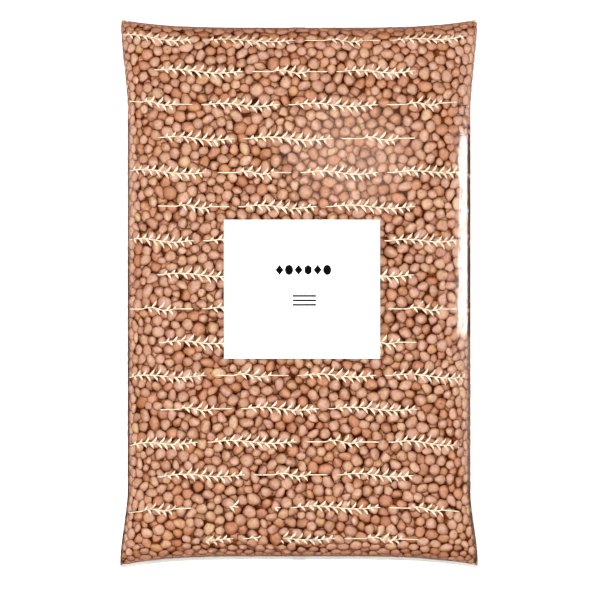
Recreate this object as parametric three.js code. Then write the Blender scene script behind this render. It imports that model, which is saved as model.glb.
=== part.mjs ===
// A sealed clear pillow bag filled with dried chickpeas, lying on its back with its front upwards.
// Units are millimetres. X runs across the bag, Y along it towards its top seal, and Z is up.
// The origin is the middle of the bag's bounding box on the surface that it rests on.
import * as THREE from "three";

// Driving dimensions of the bag
const SEAL_WIDTH = 292;
const WAIST_WIDTH = 282;
const CROWN_HEIGHT = 39; // from the height of the side edges up to the crown of the front
const EDGE_HEIGHT = 26; // of the side edges above the floor
const BACK_DEPTH = 31; // how far the back would hang under the side edges if the floor didn't flatten it
const FILM_LIP = 0.9; // thickness of the two welded films at a seal, and of the fold at a side

// Where the contents end at each seal, in the middle and at the corners, measured from the middle of the bag.
// The flare is the stretch over which the bag widens from its waist to its corners.
const TOP_END = { middle: 219.2, corner: 223.4, flare: 76, sealReach: 1.9 };
const BOTTOM_END = { middle: 214.6, corner: 221.2, flare: 60, sealReach: 3.8 };
const SEAL_DEPTH = 9; // of each welded strip, measured on the film
const CORNER_DROOP = 3; // how much lower the corners hang than the middle of a seal
const DIP_POWER = 3.8; // the end's outline stays flat in the middle and turns out at the corners
const FLARE_START = 0.12; // share of the flare next to the seal that keeps the full width

// Roundness of the pillow: exponents of the rounded outline across and along it
const FRONT_ACROSS = 2.5;
const FRONT_ALONG = 3;
const BACK_ACROSS = 3.4;
const BACK_ALONG = 3.6;

// Slow swells where the peas have settled unevenly: height, waves across, waves along and phase
const SWELLS = [
  { height: 0.9, across: 1.3, along: 0.7, phase: 0.4 },
  { height: 0.7, across: 0.6, along: 1.9, phase: 1.9 },
  { height: 0.5, across: 2.3, along: 2.6, phase: 3.1 },
];

// Chickpeas that press into the film: distance between neighbours and height of the bumps
const PEA_PITCH = 10.1;
const PEA_RISE = 1.7;
const PEA_SHIFT = 0.9; // most that a bump strays sideways from its place
const PEA_UNEVEN = 0.45; // most that a bump is higher or lower than its neighbours
const SMOOTH_RIM = 11; // width of the stretch beside the outline where the bumps fade out

// Net of the plain back: cells across and along
const BACK_COLUMNS = 18;
const BACK_ROWS = 26;

// Stuck-on paper label on the front
const LABEL = { width: 126, length: 112, x: 2.4, y: 4.8, thickness: 0.4, gap: 0.3 };
const LABEL_COLUMNS = 14;
const LABEL_ROWS = 12;
const LABEL_MARGIN = 3; // the film stays smooth this far round the label

const PEA_COLOUR = 0xc08c6f;
const LABEL_COLOUR = 0xfdfdfb;
const SEED = 50;
const TURN = 2 * Math.PI;
const TABLE_STEPS = 720;

const { clamp, smoothstep, lerp, mapLinear } = THREE.MathUtils;

// A repeatable random number from 0 to 1
function makeRandom(seed) {
  let state = seed;
  return () => {
    state = (state * 1664525 + 1013904223) % 4294967296;
    return state / 4294967296;
  };
}

// Height of a rounded outline of half width 1 and height 1 at a place from -1 to 1
function bulge(place, power) {
  return Math.pow(Math.max(0, 1 - Math.pow(Math.abs(place), power)), 1 / power);
}

// Gives the places from -1 to 1 that divide a rounded outline's length evenly
function evenPlaces(halfWidth, height, power) {
  const lengths = [0];
  const places = [0];
  for (let i = 1; i <= TABLE_STEPS; i++) {
    const place = Math.sin((i / TABLE_STEPS) * (Math.PI / 2));
    const rise = height * (bulge(place, power) - bulge(places[i - 1], power));
    lengths.push(lengths[i - 1] + Math.hypot(halfWidth * (place - places[i - 1]), rise));
    places.push(place);
  }
  const total = lengths[TABLE_STEPS];
  const at = (share) => {
    const wanted = Math.abs(share) * total;
    let i = lengths.findIndex((length) => length >= wanted);
    i = i < 1 ? 1 : i;
    const place = mapLinear(wanted, lengths[i - 1], lengths[i], places[i - 1], places[i]);
    return Math.sign(share) * clamp(place, 0, 1);
  };
  return { total: 2 * total, at };
}

// Outline of the bag seen from the front
const endOf = (along) => (along < 0 ? BOTTOM_END : TOP_END);

function rootLine(across, along) {
  const end = endOf(along);
  return lerp(end.middle, end.corner, Math.pow(Math.abs(across), DIP_POWER));
}

function halfWidth(along) {
  const end = endOf(along);
  const fromSeal = (1 - Math.abs(along)) * end.middle;
  const narrowing = smoothstep(fromSeal, FLARE_START * end.flare, end.flare);
  return lerp(SEAL_WIDTH, WAIST_WIDTH, narrowing) / 2;
}

// Height of the fold at the sides and of the seals, lower at the corners
function edgeHeight(across, along) {
  return EDGE_HEIGHT - CORNER_DROOP * Math.pow(Math.abs(across), 3) * Math.pow(Math.abs(along), 6);
}

function swell(across, along) {
  return SWELLS.reduce((sum, wave) => {
    const turns = (wave.across * across + wave.along * along) / 2;
    return sum + wave.height * Math.sin(TURN * turns + wave.phase);
  }, 0);
}

// A point of the front film, at places from -1 to 1 across and along the bag
function frontPoint(across, along) {
  const body = bulge(across, FRONT_ACROSS) * bulge(along, FRONT_ALONG);
  const height = edgeHeight(across, along) + FILM_LIP / 2 + (CROWN_HEIGHT + swell(across, along)) * body;
  return new THREE.Vector3(
    across * halfWidth(along),
    Math.sign(along) * Math.abs(along) * rootLine(across, along),
    height,
  );
}

// A point of the back film, which the floor presses flat
function backPoint(across, along) {
  const body = bulge(across, BACK_ACROSS) * bulge(along, BACK_ALONG);
  const height = edgeHeight(across, along) - FILM_LIP / 2 - BACK_DEPTH * body;
  const point = frontPoint(across, along);
  point.z = Math.max(0, height);
  return point;
}

// Direction away from the front film
function frontNormal(across, along) {
  const step = 0.002;
  const a = frontPoint(clamp(across + step, -1, 1), along);
  const b = frontPoint(clamp(across - step, -1, 1), along);
  const c = frontPoint(across, clamp(along + step, -1, 1));
  const d = frontPoint(across, clamp(along - step, -1, 1));
  return a.sub(b).cross(c.sub(d)).normalize();
}

// 0 beside the outline and under the label, 1 on the open film
function reliefAt(point, across, along) {
  const toSide = (1 - Math.abs(across)) * halfWidth(along);
  const toEnd = (1 - Math.abs(along)) * rootLine(across, along);
  const pastLabel = Math.max(
    Math.abs(point.x - LABEL.x) - LABEL.width / 2,
    Math.abs(point.y - LABEL.y) - LABEL.length / 2,
  );
  const open = smoothstep(Math.min(toSide, toEnd), 0, SMOOTH_RIM);
  return open * smoothstep(pastLabel, LABEL_MARGIN / 2, 2 * LABEL_MARGIN);
}

// The welded strip beyond the contents, bent back towards the floor
function sealPoint(across, end, side) {
  const along = end === TOP_END ? 1 : -1;
  const root = frontPoint(across, along);
  const fall = Math.sqrt(SEAL_DEPTH ** 2 - end.sealReach ** 2);
  root.y += along * end.sealReach;
  root.z -= fall + FILM_LIP / 2;
  root.y += (side * along * FILM_LIP) / 2;
  return root;
}

// Adds rows of points to a mesh under construction, and joins neighbouring rows with triangles
class Skin {
  constructor() {
    this.positions = [];
    this.faces = [];
  }

  addRow(points) {
    return points.map((point) => {
      this.positions.push(point.x, point.y, point.z);
      return this.positions.length / 3 - 1;
    });
  }

  // Joins two rows whose points run the same way, always stepping on the row that lags behind
  join(rowA, rowB, sharesA = evenShares(rowA), sharesB = evenShares(rowB)) {
    let i = 0;
    let j = 0;
    while (i < rowA.length - 1 || j < rowB.length - 1) {
      const nextA = i < rowA.length - 1 ? sharesA[i + 1] + sharesA[i] : Infinity;
      const nextB = j < rowB.length - 1 ? sharesB[j + 1] + sharesB[j] : Infinity;
      if (nextA <= nextB) {
        this.faces.push(rowA[i], rowA[i + 1], rowB[j]);
        i += 1;
      } else {
        this.faces.push(rowA[i], rowB[j + 1], rowB[j]);
        j += 1;
      }
    }
  }

  geometry() {
    const geometry = new THREE.BufferGeometry();
    geometry.setAttribute("position", new THREE.Float32BufferAttribute(this.positions, 3));
    geometry.setIndex(this.faces);
    geometry.computeVertexNormals();
    return geometry;
  }
}

function evenShares(row) {
  return row.map((_, i) => i / (row.length - 1));
}

// Places of one row of the front net: every second row is shifted by half a cell, with its ends on the outline
function staggeredShares(cells, shifted) {
  const shares = [-1];
  for (let i = shifted ? 0 : 1; i < cells; i++) {
    shares.push(mapLinear(shifted ? i + 0.5 : i, 0, cells, -1, 1));
  }
  shares.push(1);
  return shares;
}

// The front net: a triangular grid in which every third point is the top of a chickpea
function addFront(skin) {
  const random = makeRandom(SEED);
  const across = evenPlaces(WAIST_WIDTH / 2, CROWN_HEIGHT, FRONT_ACROSS);
  const along = evenPlaces(TOP_END.middle, CROWN_HEIGHT, FRONT_ALONG);
  const cells = 3 * Math.round(across.total / (Math.sqrt(3) * PEA_PITCH));
  const rows = 2 * Math.round(along.total / PEA_PITCH);
  const net = [];
  for (let r = 0; r <= rows; r++) {
    const shifted = r % 2 === 1;
    const shares = staggeredShares(cells, shifted);
    const v = along.at(mapLinear(r, 0, rows, -1, 1));
    const points = shares.map((share, i) => {
      const column = ((share + 1) / 2) * cells;
      const inside = i > 0 && i < shares.length - 1 && r > 0 && r < rows;
      const isPeak = inside && Math.round(2 * column) % 6 === (shifted ? 3 : 0);
      const stray = isPeak ? PEA_SHIFT : PEA_SHIFT / 3;
      const shiftX = inside ? ((2 * random() - 1) * stray) / (WAIST_WIDTH / 2) : 0;
      const shiftY = inside ? ((2 * random() - 1) * stray) / TOP_END.middle : 0;
      const uneven = (2 * random() - 1) * PEA_UNEVEN;
      const u = clamp(across.at(share) + shiftX, -1, 1);
      const w = clamp(v + shiftY, -1, 1);
      const point = frontPoint(u, w);
      const relief = inside ? reliefAt(point, u, w) * ((isPeak ? 0.6 : -0.4) * PEA_RISE + uneven) : 0;
      return point.addScaledVector(frontNormal(u, w), relief);
    });
    net.push({ row: skin.addRow(points), shares });
  }
  const sealShares = staggeredShares(cells / 2, false);
  const sealRow = (end) => ({
    row: skin.addRow(sealShares.map((share) => sealPoint(across.at(share), end, 1))),
    shares: sealShares,
  });
  return [sealRow(BOTTOM_END), ...net, sealRow(TOP_END)];
}

// The back net, coarse because the floor holds it flat
function addBack(skin) {
  const across = evenPlaces(WAIST_WIDTH / 2, BACK_DEPTH, BACK_ACROSS);
  const along = evenPlaces(TOP_END.middle, BACK_DEPTH, BACK_ALONG);
  const shares = staggeredShares(BACK_COLUMNS, false);
  const net = [];
  for (let r = 0; r <= BACK_ROWS; r++) {
    const v = along.at(mapLinear(r, 0, BACK_ROWS, -1, 1));
    net.push({ row: skin.addRow(shares.map((share) => backPoint(across.at(share), v))), shares });
  }
  const sealRow = (end) => ({
    row: skin.addRow(shares.map((share) => sealPoint(across.at(share), end, -1))),
    shares,
  });
  return [sealRow(BOTTOM_END), ...net, sealRow(TOP_END)];
}

// Heights along one side of a net, as shares that its neighbour can be matched by
function sideOf(skin, net, pick) {
  const row = net.map((line) => pick(line.row));
  const shares = row.map((index) => skin.positions[3 * index + 1]);
  return { row, shares };
}

function makeBagGeometry() {
  const skin = new Skin();
  const front = addFront(skin);
  const back = addBack(skin);
  for (let r = 1; r < front.length; r++) {
    skin.join(front[r - 1].row, front[r].row, front[r - 1].shares, front[r].shares);
  }
  for (let r = 1; r < back.length; r++) {
    skin.join(back[r].row, back[r - 1].row, back[r].shares, back[r - 1].shares);
  }
  const first = (row) => row[0];
  const last = (row) => row[row.length - 1];
  const frontLeft = sideOf(skin, front, first);
  const backLeft = sideOf(skin, back, first);
  const frontRight = sideOf(skin, front, last);
  const backRight = sideOf(skin, back, last);
  skin.join(frontLeft.row, backLeft.row, frontLeft.shares, backLeft.shares);
  skin.join(backRight.row, frontRight.row, backRight.shares, frontRight.shares);
  skin.join(back[0].row, front[0].row, back[0].shares, front[0].shares);
  const frontTop = last(front);
  const backTop = last(back);
  skin.join(frontTop.row, backTop.row, frontTop.shares, backTop.shares);
  return skin.geometry();
}

// Height of the smooth front film over a point of the floor
function frontHeight(x, y) {
  const along = y / (y < 0 ? BOTTOM_END.middle : TOP_END.middle);
  return frontPoint(x / halfWidth(along), along).z;
}

// The label, a thin curved plate that follows the crown of the front
function makeLabelGeometry() {
  const geometry = new THREE.BoxGeometry(
    LABEL.width,
    LABEL.length,
    LABEL.thickness,
    LABEL_COLUMNS,
    LABEL_ROWS,
    1,
  );
  const position = geometry.getAttribute("position");
  for (let i = 0; i < position.count; i++) {
    const film = frontHeight(position.getX(i) + LABEL.x, position.getY(i) + LABEL.y);
    position.setZ(i, position.getZ(i) + film + LABEL.gap + LABEL.thickness / 2);
  }
  geometry.computeVertexNormals();
  return geometry;
}

function makeMesh(name, geometry, colour, roughness) {
  const material = new THREE.MeshStandardMaterial({ color: colour, roughness, metalness: 0 });
  const mesh = new THREE.Mesh(geometry, material);
  mesh.name = name;
  return mesh;
}

const bag = makeMesh("bag", makeBagGeometry(), PEA_COLOUR, 0.35);
const label = makeMesh("label", makeLabelGeometry(), LABEL_COLOUR, 0.55);
label.position.set(LABEL.x, LABEL.y, 0);

const chickpeaBag = new THREE.Group();
chickpeaBag.add(bag, label);

// The origin moves to the middle of the bag's box
bag.geometry.computeBoundingBox();
const middle = bag.geometry.boundingBox.getCenter(new THREE.Vector3());
chickpeaBag.position.set(-middle.x, -middle.y, -bag.geometry.boundingBox.min.z);

export default chickpeaBag;
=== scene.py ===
"""A sealed clear pillow bag of dried chickpeas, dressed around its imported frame.

The bag lies on its back with its front up, its top seal towards +Y. Every length is in metres.
"""

import itertools
import logging
import math
from dataclasses import dataclass, field, replace
from enum import Enum
from typing import Any, Iterable, Sequence

import bmesh
import bpy
import numpy as np
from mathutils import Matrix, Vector
from mathutils.bvhtree import BVHTree
from mathutils.kdtree import KDTree


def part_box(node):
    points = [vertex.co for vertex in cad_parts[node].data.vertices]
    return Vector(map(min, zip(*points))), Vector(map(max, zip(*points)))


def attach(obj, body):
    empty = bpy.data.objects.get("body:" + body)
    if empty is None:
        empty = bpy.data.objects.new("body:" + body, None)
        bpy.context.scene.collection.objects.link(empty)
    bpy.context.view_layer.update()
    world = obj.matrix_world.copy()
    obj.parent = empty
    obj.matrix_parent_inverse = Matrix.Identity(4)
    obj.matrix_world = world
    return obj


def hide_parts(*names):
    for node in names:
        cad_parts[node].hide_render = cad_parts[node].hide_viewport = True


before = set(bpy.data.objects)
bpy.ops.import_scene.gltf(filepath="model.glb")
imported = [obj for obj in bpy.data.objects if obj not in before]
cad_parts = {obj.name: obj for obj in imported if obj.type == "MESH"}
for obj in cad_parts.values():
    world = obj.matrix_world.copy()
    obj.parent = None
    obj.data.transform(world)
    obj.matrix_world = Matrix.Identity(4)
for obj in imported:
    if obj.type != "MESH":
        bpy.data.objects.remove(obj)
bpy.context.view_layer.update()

log = logging.getLogger("chickpea_bag")
logging.basicConfig(level=logging.INFO, format="%(message)s")

MM = 0.001
BODY = "root"
SEED = 50


class Slot(str, Enum):
    """Material slot names for the pieces, which this script gives to no piece."""

    CHICKPEAS = "chickpeas"
    FILM = "clear_film"
    PAPER = "label_paper"
    WHITE_INK = "white_ink"
    BLACK_INK = "black_ink"


def srgb(code: str) -> tuple[float, float, float, float]:
    """Turns an sRGB hex colour into linear red, green, blue and alpha.

    Args:
        code: Six hex digits.

    Returns:
        The linear colour, fully opaque.
    """
    levels = [int(code[i : i + 2], 16) / 255 for i in (0, 2, 4)]
    linear = [c / 12.92 if c <= 0.04045 else ((c + 0.055) / 1.055) ** 2.4 for c in levels]
    return (*linear, 1.0)


def add_node(tree: bpy.types.NodeTree, kind: str, inputs: dict | None = None, **settings: Any) -> bpy.types.Node:
    """Adds one node, sets its options and fills its sockets.

    Args:
        tree: The material's node tree.
        kind: The node's type, without the words ShaderNode.
        inputs: Socket name or number to a value, or to another node's output that feeds it.
        settings: The node's own options by name.

    Returns:
        The new node.
    """
    node = tree.nodes.new("ShaderNode" + kind)
    for name, value in settings.items():
        setattr(node, name, value)
    for socket, value in (inputs or {}).items():
        if isinstance(value, bpy.types.NodeSocket):
            tree.links.new(value, node.inputs[socket])
        else:
            node.inputs[socket].default_value = value
    return node


def new_material(name: str) -> tuple[bpy.types.Material, bpy.types.NodeTree]:
    """Makes an empty node material.

    Args:
        name: The material's name.

    Returns:
        The material and its node tree.
    """
    material = bpy.data.materials.new(name)
    material.use_nodes = True
    material.node_tree.nodes.clear()
    return material, material.node_tree


def fill_ramp(node: bpy.types.Node, stops: Sequence[tuple[float, str]]) -> None:
    """Gives a colour ramp its stops.

    Args:
        node: The ramp's node.
        stops: Place from 0 to 1 and sRGB hex colour of each stop, in order.
    """
    elements = node.color_ramp.elements
    while len(elements) < len(stops):
        elements.new(1.0)
    for element, (place, code) in zip(elements, stops):
        element.position = place
        element.color = srgb(code)


def show_piece(
    mesh: bpy.types.Mesh,
    name: str,
    materials: Iterable[bpy.types.Material],
    stands_for: Sequence[str] = (),
) -> bpy.types.Object:
    """Puts a finished mesh in the scene as one piece that rides on the bag's body.

    Args:
        mesh: The finished mesh, in the row frame.
        name: The piece's name.
        materials: Its materials in the order of the mesh's indices.
        stands_for: CAD nodes that it replaces.

    Returns:
        The new object.
    """
    mesh.name = name
    for material in materials:
        mesh.materials.append(material)
    piece = bpy.data.objects.new(name, mesh)
    bpy.context.scene.collection.objects.link(piece)
    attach(piece, BODY)
    if stands_for:
        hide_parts(*stands_for)
    log.info("%s: %d faces", name, len(mesh.polygons))
    return piece


def mesh_of(shape: bmesh.types.BMesh, smooth: bool = True) -> bpy.types.Mesh:
    """Turns a bmesh into a mesh and frees it.

    Args:
        shape: The bmesh.
        smooth: Whether its faces are shaded smooth.

    Returns:
        The new mesh.
    """
    mesh = bpy.data.meshes.new("shape")
    for face in shape.faces:
        face.smooth = smooth
    shape.to_mesh(mesh)
    shape.free()
    return mesh


def store(mesh: bpy.types.Mesh, name: str, values: np.ndarray) -> None:
    """Stores a number or a vector for every point of a mesh.

    Args:
        mesh: The mesh.
        name: The attribute's name, which the materials read.
        values: One number or one row of three for each point.
    """
    kind, key = ("FLOAT", "value") if values.ndim == 1 else ("FLOAT_VECTOR", "vector")
    attribute = mesh.attributes.new(name, kind, "POINT")
    attribute.data.foreach_set(key, values.astype(np.float32).ravel())


def bulge(place: np.ndarray, power: float) -> np.ndarray:
    """Height of a rounded outline of half width 1 and height 1.

    Args:
        place: Places from -1 to 1.
        power: The outline's exponent: 2 is round, more is boxier.

    Returns:
        The height at each place.
    """
    return np.maximum(0.0, 1.0 - np.abs(place) ** power) ** (1.0 / power)


def smooth_step(value: np.ndarray, low: float, high: float) -> np.ndarray:
    """Rises smoothly from 0 at low to 1 at high.

    Args:
        value: The values to judge.
        low: Where the rise starts.
        high: Where it ends.

    Returns:
        A share from 0 to 1 for each value.
    """
    share = np.clip((value - low) / (high - low), 0.0, 1.0)
    return share * share * (3.0 - 2.0 * share)


@dataclass(frozen=True)
class ArcTable:
    """Finds places on a rounded outline by the distance along it from its middle."""

    half_width: float
    height: float
    power: float
    steps: int = 720

    def table(self) -> tuple[np.ndarray, np.ndarray]:
        """Returns the distances along the outline and the places that they reach."""
        places = np.sin(np.linspace(0.0, math.pi / 2, self.steps + 1))
        rises = self.height * np.diff(bulge(places, self.power))
        runs = self.half_width * np.diff(places)
        return np.concatenate([[0.0], np.cumsum(np.hypot(runs, rises))]), places

    def total(self) -> float:
        """Returns the outline's whole length."""
        return 2 * float(self.table()[0][-1])

    def at_length(self, lengths: np.ndarray) -> np.ndarray:
        """Returns the places at signed distances from the middle."""
        reached, places = self.table()
        return np.sign(lengths) * np.interp(np.abs(lengths), reached, places)

    def at_share(self, shares: np.ndarray) -> np.ndarray:
        """Returns the places at shares from -1 to 1 of the half length."""
        return self.at_length(np.asarray(shares) * self.total() / 2)


@dataclass(frozen=True)
class BagEnd:
    """One end of the bag: its width, where its contents stop and how its seal is bent back."""

    width: float
    middle: float
    corner: float
    flare: float
    seal_reach: float


@dataclass(frozen=True)
class BagForm:
    """The bag's form, worked out as the frame's solid is."""

    waist_width: float = 282.1 * MM
    crown_height: float = 39 * MM
    edge_height: float = 26 * MM
    back_depth: float = 31 * MM
    film_lip: float = 0.9 * MM
    top: BagEnd = BagEnd(293.6 * MM, middle=219.9 * MM, corner=227.1 * MM, flare=76 * MM, seal_reach=0.4 * MM)
    bottom: BagEnd = BagEnd(294.9 * MM, middle=214.6 * MM, corner=222.7 * MM, flare=62 * MM, seal_reach=3.5 * MM)
    middle_y: float = 0.15 * MM
    seal_depth: float = 9 * MM
    corner_droop: float = 3 * MM
    dip_power: float = 4.2
    flare_start: float = 0.0
    front_powers: tuple[float, float] = (2.5, 3.0)
    back_powers: tuple[float, float] = (3.4, 3.6)
    swells: tuple[tuple[float, float, float, float], ...] = (
        (0.9 * MM, 1.3, 0.7, 0.4),
        (0.7 * MM, 0.6, 1.9, 1.9),
        (0.5 * MM, 2.3, 2.6, 3.1),
    )
    floor_gap: float = 0.25 * MM

    def by_end(self, along: np.ndarray, name: str) -> np.ndarray:
        """Returns a value of the bottom end where along is below 0, and of the top end elsewhere."""
        return np.where(along < 0, getattr(self.bottom, name), getattr(self.top, name))

    def half_width(self, along: np.ndarray) -> np.ndarray:
        """Returns half of the bag's width, which grows towards both seals."""
        flare, width = self.by_end(along, "flare"), self.by_end(along, "width")
        from_seal = (1 - np.abs(along)) * self.by_end(along, "middle") / flare
        narrowing = smooth_step(from_seal, self.flare_start, 1.0)
        return (width + (self.waist_width - width) * narrowing) / 2

    def root_line(self, across: np.ndarray, along: np.ndarray) -> np.ndarray:
        """Returns how far from the middle the contents end, further at the corners."""
        middle, corner = self.by_end(along, "middle"), self.by_end(along, "corner")
        return middle + (corner - middle) * np.abs(across) ** self.dip_power

    def fold_height(self, across: np.ndarray, along: np.ndarray) -> np.ndarray:
        """Returns the height of the side folds and the seals, lower at the corners."""
        return self.edge_height - self.corner_droop * np.abs(across) ** 3 * np.abs(along) ** 6

    def swell(self, across: np.ndarray, along: np.ndarray) -> np.ndarray:
        """Returns the slow swells where the chickpeas have settled unevenly."""
        turns = [(h, (a * across + b * along) / 2, p) for h, a, b, p in self.swells]
        return sum(height * np.sin(2 * math.pi * turn + phase) for height, turn, phase in turns)

    def flat_place(self, across: np.ndarray, along: np.ndarray) -> tuple[np.ndarray, np.ndarray]:
        """Returns the place over the floor of places from -1 to 1 across and along the bag."""
        return across * self.half_width(along), along * self.root_line(across, along) - self.middle_y

    def front(self, across: np.ndarray, along: np.ndarray) -> np.ndarray:
        """Returns points of the front film."""
        x, y = self.flat_place(across, along)
        body = bulge(across, self.front_powers[0]) * bulge(along, self.front_powers[1])
        rise = (self.crown_height + self.swell(across, along)) * body
        return np.stack([x, y, self.fold_height(across, along) + self.film_lip / 2 + rise], axis=-1)

    def back(self, across: np.ndarray, along: np.ndarray) -> np.ndarray:
        """Returns points of the back film, which the floor presses flat."""
        x, y = self.flat_place(across, along)
        body = bulge(across, self.back_powers[0]) * bulge(along, self.back_powers[1])
        height = self.fold_height(across, along) - self.film_lip / 2 - self.back_depth * body
        return np.stack([x, y, np.maximum(self.floor_gap, height)], axis=-1)

    def seal(self, across: np.ndarray, along: np.ndarray, depth: np.ndarray, side: np.ndarray) -> np.ndarray:
        """Gives points of the welded strips, which are bent back towards the floor.

        Args:
            across: Places across the bag.
            along: -1 at the bottom seal and 1 at the top seal.
            depth: Distance from the contents, from 0 to 1 of the strip's depth.
            side: 1 on the front film and -1 on the back film.

        Returns:
            The points.
        """
        reach = self.by_end(along, "seal_reach")
        fall = np.sqrt(self.seal_depth**2 - reach**2)
        point = self.front(across, along)
        lip = self.film_lip * (1 - depth)
        point[..., 1] += along * reach * depth + side * along * lip * depth / 2
        point[..., 2] -= fall * depth + self.film_lip / 2 - side * lip * (1 - depth) / 2
        return point

    def find_place(self, x: np.ndarray, y: np.ndarray) -> tuple[np.ndarray, np.ndarray]:
        """Returns the places from -1 to 1 across and along the bag of points over the floor."""
        reach = y + self.middle_y
        along = reach / self.by_end(reach, "middle")
        across = np.zeros_like(along)
        for _ in range(5):
            across = np.clip(x / self.half_width(along), -1, 1)
            along = np.clip(reach / self.root_line(across, along), -1, 1)
        return across, along

    def resized(self, aside: float, endwise: float, thicker: float = 0.0, floor_gap: float = 0.25 * MM) -> "BagForm":
        """Gives a larger or smaller form about the same middle.

        Args:
            aside: What is added at each side.
            endwise: What is added to the contents at each end.
            thicker: What is added to the height of the front and the depth of the back.
            floor_gap: The lowest level of its back.

        Returns:
            The new form.
        """
        top, bottom = (
            replace(e, width=e.width + 2 * aside, middle=e.middle + endwise, corner=e.corner + endwise)
            for e in (self.top, self.bottom)
        )
        return replace(
            self,
            waist_width=self.waist_width + 2 * aside,
            crown_height=self.crown_height + thicker,
            back_depth=self.back_depth + thicker,
            top=top,
            bottom=bottom,
            floor_gap=floor_gap,
        )

    def front_tables(self) -> tuple[ArcTable, ArcTable]:
        """Returns the arc tables across and along the front."""
        across = ArcTable(self.waist_width / 2, self.crown_height, self.front_powers[0])
        return across, ArcTable(self.top.middle, self.crown_height, self.front_powers[1])

    def back_tables(self) -> tuple[ArcTable, ArcTable]:
        """Returns the arc tables across and along the back."""
        across = ArcTable(self.waist_width / 2, self.back_depth, self.back_powers[0])
        return across, ArcTable(self.top.middle, self.back_depth, self.back_powers[1])


@dataclass
class BagShell:
    """A closed skin of quads wrapped round a form: front, side folds, back and seals."""

    form: BagForm
    columns: int
    rows: int
    seal_rows: int = 0
    rib_height: float = 0.0
    ribs: int = 4

    def build(self) -> bmesh.types.BMesh:
        """Wraps a flat grid round the form and closes it.

        Returns:
            The skin, with material index 1 at the bottom seal and 2 at the top seal.
        """
        shape = bmesh.new()
        ring = 2 * self.columns + 2
        lines = self.rows + 2 * self.seal_rows
        bmesh.ops.create_grid(shape, x_segments=ring, y_segments=lines, size=1)
        flat = np.array([v.co for v in shape.verts])
        column = np.rint((flat[:, 0] + 1) / 2 * ring).astype(int)
        line = np.rint((flat[:, 1] + 1) / 2 * lines).astype(int)
        for face in shape.faces:
            rows = [int(line[v.index]) for v in face.verts]
            if max(rows) <= self.seal_rows:
                face.material_index = 1
            elif min(rows) >= self.seal_rows + self.rows:
                face.material_index = 2
        points = self.points_at(column, line, ring, lines)
        for vert, point in zip(shape.verts, points):
            vert.co = point
        bmesh.ops.remove_doubles(shape, verts=shape.verts, dist=1e-6)
        if self.seal_rows == 0:
            bmesh.ops.holes_fill(shape, edges=[e for e in shape.edges if e.is_boundary], sides=0)
        bmesh.ops.recalc_face_normals(shape, faces=shape.faces)
        shape.normal_update()
        return shape

    def points_at(self, column: np.ndarray, line: np.ndarray, ring: int, lines: int) -> np.ndarray:
        """Gives the points of the skin.

        Args:
            column: Each vertex's column, counted round the bag from the left fold over the front.
            line: Each vertex's line, counted from the outer edge of the bottom seal.
            ring: Number of cells round the bag.
            lines: Number of cells along it.

        Returns:
            The points in the row frame.
        """
        turned = np.where(column == ring, 0, column)
        on_front = turned <= self.columns
        share = np.where(on_front, -1 + 2 * turned / self.columns, 1 - 2 * (turned - self.columns - 1) / self.columns)
        row = np.clip((line - self.seal_rows) / self.rows, 0, 1) * 2 - 1
        depth = np.maximum(self.seal_rows - line, line - self.seal_rows - self.rows)
        depth = np.clip(depth / max(1, self.seal_rows), 0, 1)
        front_across, front_along = self.form.front_tables()
        back_across, back_along = self.form.back_tables()
        front = self.form.front(front_across.at_share(share), front_along.at_share(row))
        back = self.form.back(back_across.at_share(share), back_along.at_share(row))
        points = np.where(on_front[:, None], front, back)
        side = np.where(on_front, 1.0, -1.0)
        seal = self.form.seal(front_across.at_share(share), np.sign(row), depth, side)
        seal[:, 1] += np.sign(row) * self.rib_height * np.sin(2 * math.pi * self.ribs * depth) * (depth < 0.999)
        return np.where((depth > 0)[:, None], seal, points)


@dataclass
class Room:
    """The space inside the film, as depths below the film on a grid."""

    form: BagForm
    step: float = 4 * MM
    low: np.ndarray = field(init=False)
    values: np.ndarray = field(init=False)

    def __post_init__(self) -> None:
        """Measures the depth at every grid point."""
        shell = BagShell(self.form, columns=90, rows=120).build()
        tree = BVHTree.FromBMesh(shell)
        corners = np.array([v.co for v in shell.verts])
        shell.free()
        self.low = corners.min(0) - self.step
        counts = np.ceil((corners.max(0) + self.step - self.low) / self.step).astype(int) + 1
        depths = np.empty(counts)
        for index in np.ndindex(*counts):
            point = Vector(self.low + np.array(index) * self.step)
            place, normal, _, distance = tree.find_nearest(point)
            depths[index] = distance if (place - point).dot(normal) > 0 else -distance
        slopes = np.gradient(depths, self.step)
        self.values = np.stack([depths, *slopes], axis=-1)

    def look(self, points: np.ndarray) -> tuple[np.ndarray, np.ndarray]:
        """Reads the depth below the film and the way further in.

        Args:
            points: Points in the row frame.

        Returns:
            The depth at each point and the unit vector that leads inwards.
        """
        place = (points - self.low) / self.step
        cell = np.clip(np.floor(place).astype(int), 0, np.array(self.values.shape[:3]) - 2)
        part = place - cell
        total = np.zeros((len(points), 4))
        for corner in itertools.product((0, 1), repeat=3):
            weight = np.prod(np.where(corner, part, 1 - part), axis=1)
            at = cell + corner
            total += weight[:, None] * self.values[at[:, 0], at[:, 1], at[:, 2]]
        inward = total[:, 1:]
        return total[:, 0], inward / np.maximum(np.linalg.norm(inward, axis=1, keepdims=True), 1e-9)


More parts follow.
